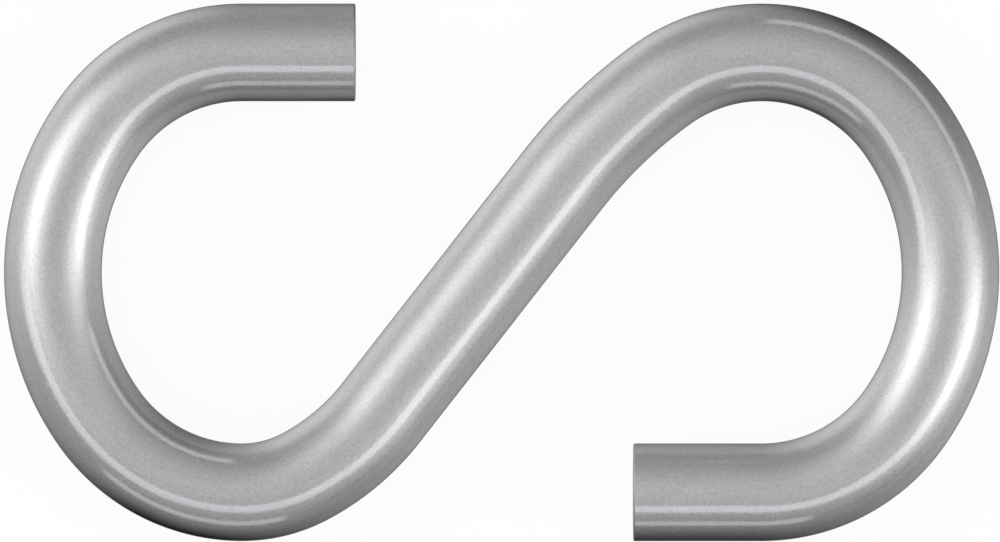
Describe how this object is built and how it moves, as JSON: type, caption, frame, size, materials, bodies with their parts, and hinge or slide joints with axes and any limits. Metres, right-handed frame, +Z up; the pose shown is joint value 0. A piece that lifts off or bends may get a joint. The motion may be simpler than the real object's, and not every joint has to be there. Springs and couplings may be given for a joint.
{
  "type": "s hook",
  "caption": "Round steel bar bent flat into an S: open hooks facing opposite ways on a slanting shank, with sawn-off points, for hanging or linking rings, chains, rods and cords.",
  "frame": {"origin": "on the plane that the hook lies on, under the middle of its outline", "axes": "+X along the hook's length from the left bowl to the right bowl, +Y across it towards the left hook's point, +Z up out of the plane of the bend"},
  "size_m": [0.0814, 0.044, 0.008],
  "materials": {
    "steel_bar": "satin drawn bar, bright-plated, with a fine grain along the bar and square sawn ends"
  },
  "bodies": {
    "root": {"s_hook": "steel_bar"}
  },
  "joints": []
}
